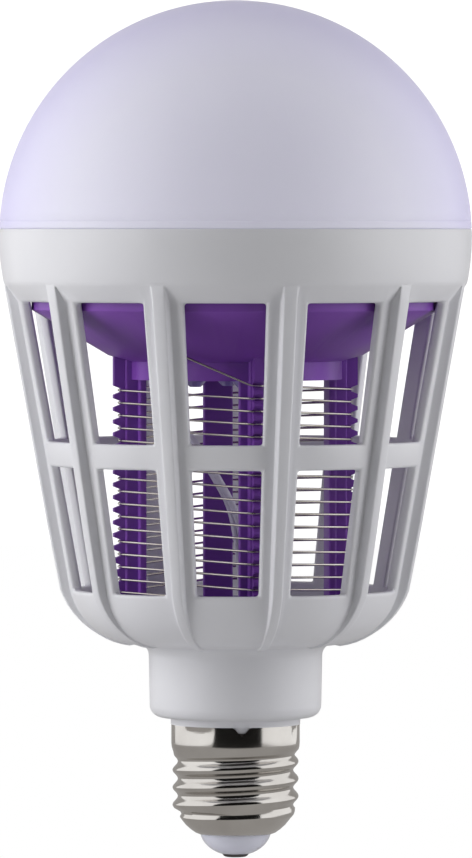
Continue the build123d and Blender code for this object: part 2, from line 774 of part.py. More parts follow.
# Ultraviolet board on the floor of the cup, and its lights in the holes below
with BuildPart() as uv_board:
    with BuildSketch(Plane.XY.offset(boss_floor_z)):
        Circle(UV_BOARD_R)
    extrude(amount=UV_BOARD_T)
finish(uv_board.part, "uv_board")

with BuildPart() as uv_leds:
    with BuildSketch(Plane.XY.offset(boss_floor_z)):
        with PolarLocations(UV_RING_R, UV_COUNT, POST_AZIMUTH):
            RegularPolygon(UV_D / 2, SMALL_SIDE_COUNT)
    extrude(amount=-UV_LENGTH)
    chamfer(uv_leds.edges().group_by(Axis.Z)[0], UV_TIP)
finish(uv_leds.part, "uv_leds")
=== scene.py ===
# %% [markdown]
# An insect killer light bulb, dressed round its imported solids.
# A milky globe sits on a white ribbed cage. Inside hangs a purple frame whose four comb posts
# carry two wires wound side by side, and a nickel screw cap closes the foot.
# Every piece is drawn in millimetres and scaled to metres when it is finished.

# %% Load the solids
import math

import bmesh
import bpy
from mathutils import Matrix, Vector


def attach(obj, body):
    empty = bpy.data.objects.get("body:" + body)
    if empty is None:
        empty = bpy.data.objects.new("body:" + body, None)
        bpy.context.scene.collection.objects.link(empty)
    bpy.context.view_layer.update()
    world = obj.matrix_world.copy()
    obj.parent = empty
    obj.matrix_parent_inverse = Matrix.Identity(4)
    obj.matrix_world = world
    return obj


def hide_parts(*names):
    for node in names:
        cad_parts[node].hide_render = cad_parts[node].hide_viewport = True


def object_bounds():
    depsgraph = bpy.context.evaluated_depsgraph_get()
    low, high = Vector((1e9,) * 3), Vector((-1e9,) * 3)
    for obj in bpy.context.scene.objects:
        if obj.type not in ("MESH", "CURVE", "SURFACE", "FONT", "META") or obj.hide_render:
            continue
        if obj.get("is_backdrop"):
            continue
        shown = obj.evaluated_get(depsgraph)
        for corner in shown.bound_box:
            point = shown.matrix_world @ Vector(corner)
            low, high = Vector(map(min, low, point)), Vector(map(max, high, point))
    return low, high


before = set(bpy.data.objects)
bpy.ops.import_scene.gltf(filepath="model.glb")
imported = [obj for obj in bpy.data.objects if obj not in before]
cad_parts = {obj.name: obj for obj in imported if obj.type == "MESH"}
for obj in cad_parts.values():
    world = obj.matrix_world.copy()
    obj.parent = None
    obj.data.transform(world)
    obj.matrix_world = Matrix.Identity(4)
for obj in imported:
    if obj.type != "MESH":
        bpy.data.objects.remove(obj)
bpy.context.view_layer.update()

# %% [markdown]
# The photograph looks at the lamp from a little above its waist, from far away, so upright edges
# stay upright. A long lens at 1.48 m gives the same calm view, and the lens is chosen so that
# 178.8 mm fill the picture's height.

# %% Camera
CAMERA_AWAY = 1.48
CAMERA_LIFT = math.radians(1.58)
CAMERA_AIM = Vector((0.0001, 0.0, 0.0893))

camera_data = bpy.data.cameras.new("camera")
camera_data.lens = 298.0
camera_data.sensor_width = 36.0
camera_data.clip_start = 0.05
camera = bpy.data.objects.new("camera", camera_data)
bpy.context.scene.collection.objects.link(camera)
bpy.context.scene.camera = camera
towards_camera = Vector((0, -math.cos(CAMERA_LIFT), math.sin(CAMERA_LIFT)))
camera.location = CAMERA_AIM + CAMERA_AWAY * towards_camera
camera.rotation_euler = (CAMERA_AIM - camera.location).to_track_quat("-Z", "Y").to_euler()
bpy.context.scene.view_settings.view_transform = "Standard"
print("camera at", tuple(round(v, 3) for v in camera.location))

# %% [markdown]
# Sections. Most pieces of a lamp are turned shapes, so each starts as a thin section in the XZ
# plane that is spun round the axis. A section is a chain of a few vertices: `to` adds a straight
# edge, `arc` spins the chain's last vertex about a centre, and `ease` rounds a corner.


# %% Section helpers
MERGE_WITHIN = 0.002


def begin(x, z):
    """A new mesh with the first vertex of a section."""
    bm = bmesh.new()
    return bm, [bm.verts.new((x, 0, z))]


def to(bm, chain, x, z):
    """Straight edge from the chain's last vertex to a new one."""
    chain.append(bm.verts.new((x, 0, z)))
    bm.edges.new(chain[-2:])


def arc(bm, chain, centre, degrees, steps):
    """Arc from the chain's last vertex, clockwise where degrees is positive."""
    swept = bmesh.ops.spin(
        bm, geom=[chain[-1]], cent=(centre[0], 0, centre[1]), axis=(0, 1, 0),
        angle=math.radians(degrees), steps=steps,
    )
    chain.append(next(e for e in swept["geom_last"] if isinstance(e, bmesh.types.BMVert)))


def close(bm, chain):
    """Edge from the chain's last vertex back to its first."""
    bm.edges.new((chain[-1], chain[0]))


def ease(bm, chain, places, reach):
    """Round the corners of a chain at these places in it."""
    corners = [chain[i] for i in places]
    bmesh.ops.bevel(
        bm, geom=corners, affect="VERTICES", offset=reach, segments=3, profile=0.5, material=-1
    )


def turn(bm, steps):
    """Spin the whole section once round the lamp's axis."""
    bmesh.ops.spin(
        bm, geom=bm.verts[:] + bm.edges[:], cent=(0, 0, 0), axis=(0, 0, 1),
        angle=2 * math.pi, steps=steps, use_merge=True,
    )
    bmesh.ops.remove_doubles(bm, verts=bm.verts[:], dist=MERGE_WITHIN)


def on_axis(azimuth):
    """Turn that brings what was drawn towards +X to an azimuth counted from the front."""
    return Matrix.Rotation(math.radians(azimuth - 90), 4, "Z")


def made(bm, name, node, material, crease=38):
    """Finish a mesh as a piece of the lamp that stands for its solids."""
    bmesh.ops.recalc_face_normals(bm, faces=bm.faces[:])
    bmesh.ops.scale(bm, vec=(0.001, 0.001, 0.001), verts=bm.verts[:])
    mesh = bpy.data.meshes.new(name)
    bm.to_mesh(mesh)
    bm.free()
    mesh.shade_smooth()
    mesh.set_sharp_from_angle(angle=math.radians(crease))
    mesh.materials.append(material)
    piece = bpy.data.objects.new(name, mesh)
    bpy.context.scene.collection.objects.link(piece)
    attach(piece, "root")
    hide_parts(node)
    print(name, len(mesh.polygons), "faces")
    return piece


# %% [markdown]
# Finishes. Moulded plastic is never quite even: its gloss drifts, and it carries a very fine
# grain. One node group gives both, as a roughness and a bump height, and every moulded material
# takes it with its own values.


# %% Moulded finish group
def moulded_group():
    """Node group with the drifting gloss and the grain of moulded plastic."""
    group = bpy.data.node_groups.new("moulded_finish", "ShaderNodeTree")
    face = group.interface
    for label, value in (
        ("Roughness", 0.4), ("Drift", 0.05), ("Drift Scale", 40.0), ("Grain Scale", 1500.0),
    ):
        socket = face.new_socket(name=label, in_out="INPUT", socket_type="NodeSocketFloat")
        socket.default_value = value
    face.new_socket(name="Roughness", in_out="OUTPUT", socket_type="NodeSocketFloat")
    face.new_socket(name="Height", in_out="OUTPUT", socket_type="NodeSocketFloat")
    nodes, links = group.nodes, group.links
    inlet = nodes.new("NodeGroupInput")
    outlet = nodes.new("NodeGroupOutput")
    place = nodes.new("ShaderNodeTexCoord")
    drift = nodes.new("ShaderNodeTexNoise")
    drift.inputs["Detail"].default_value = 3
    grain = nodes.new("ShaderNodeTexNoise")
    grain.inputs["Detail"].default_value = 2
    spread = nodes.new("ShaderNodeMath")
    spread.operation = "MULTIPLY_ADD"
    centred = nodes.new("ShaderNodeMath")
    centred.operation = "SUBTRACT"
    centred.inputs[1].default_value = 0.5
    links.new(place.outputs["Object"], drift.inputs["Vector"])
    links.new(place.outputs["Object"], grain.inputs["Vector"])
    links.new(inlet.outputs["Drift Scale"], drift.inputs["Scale"])
    links.new(inlet.outputs["Grain Scale"], grain.inputs["Scale"])
    links.new(drift.outputs["Fac"], centred.inputs[0])
    links.new(centred.outputs[0], spread.inputs[0])
    links.new(inlet.outputs["Drift"], spread.inputs[1])
    links.new(inlet.outputs["Roughness"], spread.inputs[2])
    links.new(spread.outputs[0], outlet.inputs["Roughness"])
    links.new(grain.outputs["Fac"], outlet.inputs["Height"])
    return group


moulded_finish = moulded_group()
print(moulded_finish.name, "has", len(moulded_finish.nodes), "nodes")

# %% [markdown]
# Each moulded plastic drifts between two close tones. The globe's is milky: light wanders below
# its surface. More of that in the shader turned the globe dark and greenish, so a faint even glow
# is painted on as light, standing for the rest of what scatters inside the thin shell. The lamp
# itself isn't lit. A tint paints shade at the globe's rim: the colour turns darker and a little
# violet where the surface is seen edge on.


# %% Moulded plastics
GLOSS_DRIFT = 0.08
GRAIN_DEPTH = 0.0002
SCATTER_REACH = 0.004
GLOBE_PAINTED_GLOW = 0.21


def linear(hex_colour):
    """Linear colour of a colour as it is written on screens."""
    parts = [int(hex_colour[i : i + 2], 16) / 255 for i in (0, 2, 4)]
    straight = [c / 12.92 if c <= 0.04045 else ((c + 0.055) / 1.055) ** 2.4 for c in parts]
    return (*straight, 1.0)


def new_material(name):
    """New node material with its nodes, its links and its shader."""
    material = bpy.data.materials.new(name)
    material.use_nodes = True
    tree = material.node_tree
    return material, tree.nodes, tree.links, tree.nodes["Principled BSDF"]


def moulded(
    name, light, dark, roughness, patch_scale=25.0, bump=0.02, subsurface=0.0, coat=0.0
):
    """Moulded plastic whose colour drifts a little between two tones."""
    material, nodes, links, shader = new_material(name)
    place = nodes.new("ShaderNodeTexCoord")
    patches = nodes.new("ShaderNodeTexNoise")
    patches.inputs["Scale"].default_value = patch_scale
    patches.inputs["Detail"].default_value = 4
    ramp = nodes.new("ShaderNodeValToRGB")
    ramp.color_ramp.elements[0].position = 0.3
    ramp.color_ramp.elements[0].color = linear(dark)
    ramp.color_ramp.elements[1].position = 0.7
    ramp.color_ramp.elements[1].color = linear(light)
    links.new(place.outputs["Object"], patches.inputs["Vector"])
    links.new(patches.outputs["Fac"], ramp.inputs["Fac"])
    links.new(ramp.outputs["Color"], shader.inputs["Base Color"])
    finish = nodes.new("ShaderNodeGroup")
    finish.node_tree = moulded_finish
    finish.inputs["Roughness"].default_value = roughness
    finish.inputs["Drift"].default_value = GLOSS_DRIFT
    links.new(finish.outputs["Roughness"], shader.inputs["Roughness"])
    relief = nodes.new("ShaderNodeBump")
    relief.inputs["Strength"].default_value = bump
    relief.inputs["Distance"].default_value = GRAIN_DEPTH
    links.new(finish.outputs["Height"], relief.inputs["Height"])
    links.new(relief.outputs["Normal"], shader.inputs["Normal"])
    if subsurface:
        shader.inputs["Subsurface Weight"].default_value = subsurface
        shader.inputs["Subsurface Radius"].default_value = (1.0, 0.9, 1.0)
        shader.inputs["Subsurface Scale"].default_value = SCATTER_REACH
    if coat:
        shader.inputs["Coat Weight"].default_value = coat
        shader.inputs["Coat Roughness"].default_value = 0.12
    return material


def paint_rim_shade(material, colour, start, full):
    """Painted rim shade: turn a material's colour towards another where its surface is seen edge
    on.
    """
    nodes, links = material.node_tree.nodes, material.node_tree.links
    shader = nodes["Principled BSDF"]
    body = shader.inputs["Base Color"].links[0].from_socket
    facing = nodes.new("ShaderNodeLayerWeight")
    facing.inputs["Blend"].default_value = 0.5
    reach = nodes.new("ShaderNodeMapRange")
    reach.inputs["From Min"].default_value = start
    reach.inputs["From Max"].default_value = full
    mix = nodes.new("ShaderNodeMix")
    mix.data_type = "RGBA"
    # A Mix node keeps sockets for numbers, vectors and colours, and these are those for colours
    share, middle, rim, mixed = mix.inputs[0], mix.inputs[6], mix.inputs[7], mix.outputs[2]
    rim.default_value = linear(colour)
    links.new(facing.outputs["Facing"], reach.inputs["Value"])
    links.new(reach.outputs["Result"], share)
    links.new(body, middle)
    links.new(mixed, shader.inputs["Base Color"])


milky = moulded("milky_diffuser", "CECDD9", "C9C8D5", 0.4, subsurface=0.5)
# Painted shade: the globe's colour turns darker and a little violet where it is seen edge on
paint_rim_shade(milky, "BDB9D6", 0.3, 0.75)
milky_shader = milky.node_tree.nodes["Principled BSDF"]
# Painted light: an even glow on the globe, though the lamp isn't lit
milky_shader.inputs["Emission Color"].default_value = linear("DDDCEC")
milky_shader.inputs["Emission Strength"].default_value = GLOBE_PAINTED_GLOW
housing_white = moulded("white_housing", "DADADE", "D4D4D9", 0.36)
frame_purple = moulded("purple_frame", "8049AE", "73409E", 0.42, bump=0.04)
print("moulded materials ready")

# %% [markdown]
# Bare metal. The rolled cap is nickel-plated sheet: nearly a mirror, with fine lines round it
# from the rolling and a light haze of handling. The other metals use the same nodes with their
# own tones, from the bright drawn wires to the dull contact.


# %% Metal materials
STREAK_DEPTH = 0.0001


def metal(name, light, dark, roughness, line_scale, streak=0.04, bump=0.02):
    """Metal with streaks that run round the lamp's axis."""
    material, nodes, links, shader = new_material(name)
    shader.inputs["Metallic"].default_value = 1.0
    place = nodes.new("ShaderNodeTexCoord")
    stretch = nodes.new("ShaderNodeMapping")
    stretch.inputs["Scale"].default_value = (0.04, 0.04, 1.0)
    lines = nodes.new("ShaderNodeTexNoise")
    lines.inputs["Scale"].default_value = line_scale
    lines.inputs["Detail"].default_value = 4
    haze = nodes.new("ShaderNodeTexNoise")
    haze.inputs["Scale"].default_value = 90.0
    haze.inputs["Detail"].default_value = 5
    tone = nodes.new("ShaderNodeValToRGB")
    tone.color_ramp.elements[0].position = 0.35
    tone.color_ramp.elements[0].color = linear(dark)
    tone.color_ramp.elements[1].position = 0.65
    tone.color_ramp.elements[1].color = linear(light)
    rough = nodes.new("ShaderNodeMath")
    rough.operation = "MULTIPLY_ADD"
    rough.inputs[1].default_value = streak
    rough.inputs[2].default_value = roughness
    relief = nodes.new("ShaderNodeBump")
    relief.inputs["Strength"].default_value = bump
    relief.inputs["Distance"].default_value = STREAK_DEPTH
    links.new(place.outputs["Object"], stretch.inputs["Vector"])
    links.new(stretch.outputs["Vector"], lines.inputs["Vector"])
    links.new(place.outputs["Object"], haze.inputs["Vector"])
    links.new(haze.outputs["Fac"], tone.inputs["Fac"])
    links.new(haze.outputs["Fac"], rough.inputs[0])
    links.new(tone.outputs["Color"], shader.inputs["Base Color"])
    links.new(rough.outputs[0], shader.inputs["Roughness"])
    links.new(lines.outputs["Fac"], relief.inputs["Height"])
    links.new(relief.outputs["Normal"], shader.inputs["Normal"])
    return material


nickel = metal("nickel_cap", "D2CFCB", "C6C2BE", 0.12, 4000.0)
wire_metal = metal("grid_wire", "E2DED6", "C9C3B8", 0.22, 2500.0)
contact_metal = metal("contact_metal", "6A6767", "4C494A", 0.4, 1500.0, streak=0.15, bump=0.2)
screw_metal = metal("screw_steel", "B0B0AE", "8E8E8C", 0.3, 2500.0)
sheet_metal = metal("led_substrate", "D8D9DB", "CFD0D3", 0.45, 1500.0)
print("metals ready")

# %% [markdown]
# The globe. It is one milky moulding: a shell of 2 mm with a thicker rim that rests on the
# cage's collar, and a skirt that plugs into it. Where the rim meets the thin shell a faint line
# runs round it, drawn here as a shallow groove. Spinning the shell's section makes it closed
# and even, which a sphere with a cut wouldn't be.

# %% Globe
GLOBE_R = 49.2
GLOBE_INNER_R = 47.2
GLOBE_Z = 129.3
SEAM_Z = 131.0
GROOVE_UP = 1.62
GROOVE_HALF = 0.25
GROOVE_DEPTH = 0.13
INNER_SWEEP = 86.2


def globe_point(radius, up):
    """Point of the globe's section at a radius, so many degrees above its middle."""
    return radius * math.cos(math.radians(up)), GLOBE_Z + radius * math.sin(math.radians(up))


seam_up = math.degrees(math.asin((SEAM_Z - GLOBE_Z) / GLOBE_R))
seam_r = GLOBE_R * math.cos(math.radians(seam_up))
groove_middle = seam_up + GROOVE_UP + GROOVE_HALF
groove_end = groove_middle + GROOVE_HALF
bm, chain = begin(seam_r, SEAM_Z)
arc(bm, chain, (0, GLOBE_Z), -GROOVE_UP, 3)
to(bm, chain, *globe_point(GLOBE_R - GROOVE_DEPTH, groove_middle))
to(bm, chain, *globe_point(GLOBE_R, groove_end))
arc(bm, chain, (0, GLOBE_Z), groove_end - 90, 44)
to(bm, chain, 0, GLOBE_Z + GLOBE_INNER_R)
arc(bm, chain, (0, GLOBE_Z), INNER_SWEEP, 30)
for x, z in ((44.45, 132.4), (44.45, 128.0), (46.05, 128.0), (46.05, SEAM_Z)):
    to(bm, chain, x, z)
close(bm, chain)
ease(bm, chain, [0], 0.3)
ease(bm, chain, [-3, -4], 0.25)
turn(bm, 128)
made(bm, "globe", "dome_diffuser", milky)

# %% [markdown]
# The cage is the lamp's largest moulding. Its wall is a turned section with eleven ribs standing
# proud of it and two rows of windows between them. One sector is spun in uneven steps, so that
# there is a column of faces at each edge of a rib and of a window. The ribs are then raised by
# moving the outer vertices between their columns, which keeps their roots and edges rounded,
# and the windows are bridged from skin to skin and their edges bevelled.

# %% Cage section
TAPER_DEGREES = 10.183
TAPER = math.tan(math.radians(TAPER_DEGREES))
COLLAR_SWEEP = 13.292
SHOULDER_Z = 115.9
WALL_OUTER_R = 45.35
WALL_INNER_R = 43.15
BOWL_CENTRE = (20.5, 59.0)
BOWL_R = 14.4


def tapered_r(top_r, top_z, z):
    """Radius at a height, on a wall that narrows downwards from a radius higher up."""
    return top_r - (top_z - z) * TAPER


bm, chain = begin(seam_r, SEAM_Z)
arc(bm, chain, (0, GLOBE_Z), COLLAR_SWEEP, 8)
to(bm, chain, WALL_OUTER_R, SHOULDER_Z)
for z in (101.0, 69.0):
    to(bm, chain, tapered_r(WALL_OUTER_R, SHOULDER_Z, z), z)
to(
    bm, chain, BOWL_CENTRE[0] + BOWL_R * math.cos(math.radians(TAPER_DEGREES)),
    BOWL_CENTRE[1] - BOWL_R * math.sin(math.radians(TAPER_DEGREES)),
)
arc(bm, chain, BOWL_CENTRE, 90 - TAPER_DEGREES, 12)
arc(bm, chain, (20.5, 42.2), -90, 6)
to(bm, chain, 17.9, 31.8)
arc(bm, chain, (15.4, 31.8), 90, 8)
for x, z in (
    (13.5, 29.3), (13.5, 27.8), (12.9, 27.8), (12.9, 24.4), (11.55, 24.4), (11.55, 11.0),
    (10.05, 11.0), (10.05, 31.5), (15.9, 31.5), (15.9, 46.8), (20.53, 46.8),
):
    to(bm, chain, x, z)
arc(bm, chain, (20.53, 59.0), TAPER_DEGREES - 90, 9)
for z in (69.0, 101.0, 117.2):
    to(bm, chain, tapered_r(WALL_INNER_R, SHOULDER_Z, z), z)
for x, z in ((44.6, 117.2), (44.6, 119.4), (46.2, 121.7), (46.2, SEAM_Z)):
    to(bm, chain, x, z)
close(bm, chain)
ease(bm, chain, [0], 0.3)
ease(bm, chain, [1], 0.6)
ease(bm, chain, [10], 0.5)
print("cage section has", len(bm.verts), "points")

# %% Cage sector and ring
RIBS = 11
RIB_PITCH = 360 / RIBS
RIB_AZIMUTH = 13.6
DEGREES_PER_MM = 1.2037
RIB_EDGE = (
    (1.02, 1.0), (1.24, 0.975), (1.4, 0.908), (1.48, 0.8),
    (1.64, 0.17), (1.71, 0.085), (1.82, 0.022), (1.98, 0.0),
)
WINDOW_HALF = 10.9
WINDOW_EDGE = RIB_PITCH / 2 - WINDOW_HALF
WINDOW_Z = ((56.0, 81.8), (87.0, 115.9))

for low, high in WINDOW_Z:
    for z in (low, high):
        bmesh.ops.bisect_plane(
            bm, geom=bm.verts[:] + bm.edges[:], dist=0.001, plane_co=(0, 0, z), plane_no=(0, 0, 1)
        )
half_sector = [width * DEGREES_PER_MM for width, _ in RIB_EDGE]
half_sector += [3.8, WINDOW_EDGE, 9.1, 12.7, RIB_PITCH / 2]
stations = [-a for a in reversed(half_sector)] + [0.0] + half_sector
bmesh.ops.rotate(
    bm, verts=bm.verts[:], cent=(0, 0, 0),
    matrix=Matrix.Rotation(math.radians(stations[0]), 3, "Z"),
)
edge = bm.edges[:]
for before, after in zip(stations, stations[1:]):
    spun = bmesh.ops.spin(
        bm, geom=edge, cent=(0, 0, 0), axis=(0, 0, 1), angle=math.radians(after - before), steps=1
    )
    edge = [e for e in spun["geom_last"] if isinstance(e, bmesh.types.BMEdge)]
bmesh.ops.spin(
    bm, geom=bm.verts[:] + bm.edges[:] + bm.faces[:], cent=(0, 0, 0), axis=(0, 0, 1),
    angle=2 * math.pi * (RIBS - 1) / RIBS, steps=RIBS - 1, use_duplicate=True,
)
bmesh.ops.remove_doubles(bm, verts=bm.verts[:], dist=MERGE_WITHIN)
print("cage ring has", len(bm.faces), "faces")

# %% [markdown]
# A rib is highest at its crest and falls to the skin on both sides, by the shares in RIB_EDGE.
# Down the wall its crest runs straight, and in the bowl it follows a larger arc that comes
# closer to the skin towards the neck.


# %% Ribs
CREST_TOP = (48.24, 119.65)
CREST_CENTRE = (20.5, 61.65)
CREST_R = 17.05
RIB_END_HEIGHT = 0.42
RIB_TOP_Z = 119.2
RIB_FOOT_Z = 44.65
WALL_END_Z = 56.46
COLLAR_SKIN_R = 45.1
SKIN_DEPTH = 0.5


def from_rib(point):
    """Degrees from the middle of the nearest rib, before the cage is turned to its place."""
    away = math.degrees(math.atan2(point.y, point.x)) % RIB_PITCH
    return min(away, RIB_PITCH - away)


def rib_share(away):
    """How much of a rib's height stands at an angle from its middle."""
    before = (0.0, 1.0)
    for width, share in RIB_EDGE:
        if away <= width * DEGREES_PER_MM + 0.001:
            step = (away / DEGREES_PER_MM - before[0]) / (width - before[0])
            return before[1] + (share - before[1]) * min(max(step, 0), 1)
        before = (width, share)
    return 0.0


def crest_point(r, z):
    """Place on the rib's crest that stands over a point of the cage's skin."""
    if z >= WALL_END_Z:
        crest = tapered_r(*CREST_TOP, z)
        if z < CREST_CENTRE[1] - CREST_R * math.sin(math.radians(TAPER_DEGREES)):
            crest = CREST_CENTRE[0] + math.sqrt(CREST_R**2 - (CREST_CENTRE[1] - z) ** 2)
        return crest, z
    out = Vector((r - BOWL_CENTRE[0], z - BOWL_CENTRE[1])).normalized()
    side = Vector((BOWL_CENTRE[0] - CREST_CENTRE[0], BOWL_CENTRE[1] - CREST_CENTRE[1]))
    along = -side.dot(out) + math.sqrt(side.dot(out) ** 2 - side.length_squared + CREST_R**2)
    along = max(along, BOWL_R + RIB_END_HEIGHT)
    return BOWL_CENTRE[0] + along * out.x, BOWL_CENTRE[1] + along * out.y


def on_outer_skin(r, z):
    """Whether a point lies on the part of the cage's outer skin that ribs stand on."""
    if z > SHOULDER_Z + 0.01:
        return z < RIB_TOP_Z and r > COLLAR_SKIN_R
    if z > WALL_END_Z:
        return r > tapered_r(WALL_OUTER_R, SHOULDER_Z, z) - SKIN_DEPTH
    from_bowl = math.hypot(r - BOWL_CENTRE[0], z - BOWL_CENTRE[1])
    return z > RIB_FOOT_Z and from_bowl > BOWL_R - SKIN_DEPTH


raised = 0
for v in bm.verts:
    share = rib_share(from_rib(v.co))
    r = math.hypot(v.co.x, v.co.y)
    if share > 0 and on_outer_skin(r, v.co.z):
        crest_r, crest_z = crest_point(r, v.co.z)
        grown = (r + (crest_r - r) * share) / r
        v.co = (v.co.x * grown, v.co.y * grown, v.co.z + (crest_z - v.co.z) * share)
        raised += 1
print("ribs raised at", raised, "points")

# %% Windows
ROWS_PART_Z = 83
CORNER_ANGLE = math.radians(60)
WINDOW_ROUNDING = 0.6

open_faces = []
for face in bm.faces:
    centre = face.calc_center_median()
    if from_rib(centre) > WINDOW_EDGE and any(low < centre.z < high for low, high in WINDOW_Z):
        open_faces.append(face)
bmesh.ops.delete(bm, geom=open_faces, context="FACES")
rims = {}
for e in bm.edges:
    if e.is_boundary:
        middle = (e.verts[0].co + e.verts[1].co) / 2
        column = int((math.degrees(math.atan2(middle.y, middle.x)) % 360) / RIB_PITCH)
        rims.setdefault((column, middle.z > ROWS_PART_Z), []).append(e)
corner_edges = []
for rim in rims.values():
    bridged = bmesh.ops.bridge_loops(bm, edges=rim)
    corner_edges += rim
    for e in bridged["edges"]:
        if len(e.link_faces) == 2 and e.calc_face_angle() > CORNER_ANGLE:
            corner_edges.append(e)
bmesh.ops.bevel(
    bm, geom=list(dict.fromkeys(corner_edges)), affect="EDGES", offset=WINDOW_ROUNDING,
    segments=3, profile=0.5, material=-1,
)
print(len(rims), "windows")

# %% [markdown]
# Four small seats grow out of the bowl, one under each comb post, and carry the base plate.
# They are blocks with rounded edges, sunk into the bowl's skin.

# %% Seats and the finished cage
POSTS = 4
POST_AZIMUTH = 10.7
POST_PITCH = 90
SEAT_SIZE = (7.5, 3.0, 5.0)
SEAT_PLACE = (20.25, 0, 48.2)
SEAT_ROUNDING = 0.3

bmesh.ops.rotate(
    bm, verts=bm.verts[:], cent=(0, 0, 0), matrix=on_axis(RIB_AZIMUTH).to_3x3()
)
for post in range(POSTS):
    under_post = on_axis(POST_AZIMUTH + POST_PITCH * post) @ Matrix.Translation(SEAT_PLACE)
    seat = bmesh.ops.create_cube(
        bm, size=1.0, matrix=under_post @ Matrix.Diagonal((*SEAT_SIZE, 1))
    )
    bmesh.ops.bevel(
        bm, geom=list({e for v in seat["verts"] for e in v.link_edges}), affect="EDGES",
        offset=SEAT_ROUNDING, segments=2, profile=0.5, material=-1,
    )
made(bm, "cage", "cage_housing", housing_white)


# %% [markdown]
# The purple frame is one moulding with flat posts, combs and a turned cup. Its solid already has
# every hole and notch, so a copy of its mesh is merged, its flat faces are joined up again, and
# the edges are rounded as a mould leaves them. The long upright edges of the posts and combs
# catch the light most and are rounder, so they are bevelled first, with a larger width.


# %% Rounded copies of solids
FLAT_ANGLE = math.radians(1.0)
SHARP_ANGLE = math.radians(25.0)
TALL_LENGTH = 25
TALL_LEAN = 0.1
TALL_ANGLE = 1.2


def rounded_copy(node, name, material, width, steps=2, tall_width=0.0):
    """Copy of a solid's mesh with rounded edges, the long upright ones more if asked for."""
    bm = bmesh.new()
    bm.from_mesh(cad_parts[node].data)
    bmesh.ops.scale(bm, vec=(1000, 1000, 1000), verts=bm.verts[:])
    bmesh.ops.remove_doubles(bm, verts=bm.verts[:], dist=MERGE_WITHIN)
    bmesh.ops.dissolve_limit(
        bm, angle_limit=FLAT_ANGLE, verts=bm.verts[:], edges=bm.edges[:]
    )
    if tall_width:
        tall = []
        for e in bm.edges:
            run = e.verts[1].co - e.verts[0].co
            upright = abs(run.z) > TALL_LENGTH and run.xy.length < TALL_LEAN
            if upright and e.is_manifold and e.calc_face_angle_signed() > TALL_ANGLE:
                tall.append(e)
        bmesh.ops.bevel(
            bm, geom=tall, affect="EDGES", offset=tall_width, segments=4, profile=0.5,
            material=-1, clamp_overlap=True,
        )
        print(name, "has", len(tall), "long upright edges rounded")
    piece = made(bm, name, node, material)
    rounding = piece.modifiers.new("rounding", "BEVEL")
    rounding.width = width / 1000
    rounding.segments = steps
    rounding.limit_method = "ANGLE"
    rounding.angle_limit = SHARP_ANGLE
    rounding.use_clamp_overlap = True
    rounding.harden_normals = True


rounded_copy(
    "grid_frame", "comb_frame", frame_purple, 0.35, steps=3, tall_width=0.8
)

# %% [markdown]
# The base plate is the same purple, but it is seen lit through the wires and from above, and it
# carries a pale speckle of mould release and dust.

# %% Speckled base plate
speckled, nodes, links, shader = new_material("speckled_purple")
place = nodes.new("ShaderNodeTexCoord")
specks = nodes.new("ShaderNodeTexVoronoi")
specks.inputs["Scale"].default_value = 1400.0
spread = nodes.new("ShaderNodeValToRGB")
spread.color_ramp.elements[0].position = 0.12
spread.color_ramp.elements[0].color = linear("B9A6CF")
spread.color_ramp.elements[1].position = 0.34
spread.color_ramp.elements[1].color = linear("5A3E86")
links.new(place.outputs["Object"], specks.inputs["Vector"])
links.new(specks.outputs["Distance"], spread.inputs["Fac"])
links.new(spread.outputs["Color"], shader.inputs["Base Color"])
shader.inputs["Roughness"].default_value = 0.4
rounded_copy("grid_base", "base_plate", speckled, 0.3)

# %% [markdown]
# The grid's two wires cross each post level, in its notch, and fall half the spacing of the
# turns on the straight run to the next post. Each is a curve: a NURBS line of order 3 stays
# straight between control points in line and turns softly at the notches, where a drawn wire
# bends without a kink.


# %% Grid wires
WIRE_THICKNESS = 0.5
WIRE_R = 24.65
WIRE_TOP_Z = 97.5
WIRE_SPACING = 2.62
WIRE_DROP = WIRE_SPACING / 2
WIRE_EXIT_R = 29.9
WIRE_EXIT_Z = 105.72
WIRE_EXIT_TURN = 35.6
WIRE_START_Z = 112.6
WIRE_END_Z = 50.7
WIRE_TAIL = 2.6
BEND = 1.125
BEND_REACH = 1.6


def place_at(radius, azimuth, z, aside=0.0):
    """Point at a radius and azimuth from the front, moved aside towards larger azimuths."""
    angle = math.radians(azimuth - 90)
    return Vector((
        radius * math.cos(angle) - aside * math.sin(angle),
        radius * math.sin(angle) + aside * math.cos(angle),
        z,
    ))


def soft_line(name, points, thickness, node, material, sides=3, fineness=3):
    """Round wire or lead along a NURBS line with these control points."""
    data = bpy.data.curves.new(name, "CURVE")
    data.dimensions = "3D"
    spline = data.splines.new("NURBS")
    spline.points.add(len(points) - 1)
    for knot, point in zip(spline.points, points):
        knot.co = (*(point / 1000), 1.0)
    spline.order_u = 3
    spline.use_endpoint_u = True
    data.resolution_u = fineness
    data.bevel_depth = thickness / 2000
    data.bevel_resolution = sides
    data.use_fill_caps = True
    data.materials.append(material)
    piece = bpy.data.objects.new(name, data)
    bpy.context.scene.collection.objects.link(piece)
    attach(piece, "root")
    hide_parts(node)
    print(name, "has", len(points), "control points")


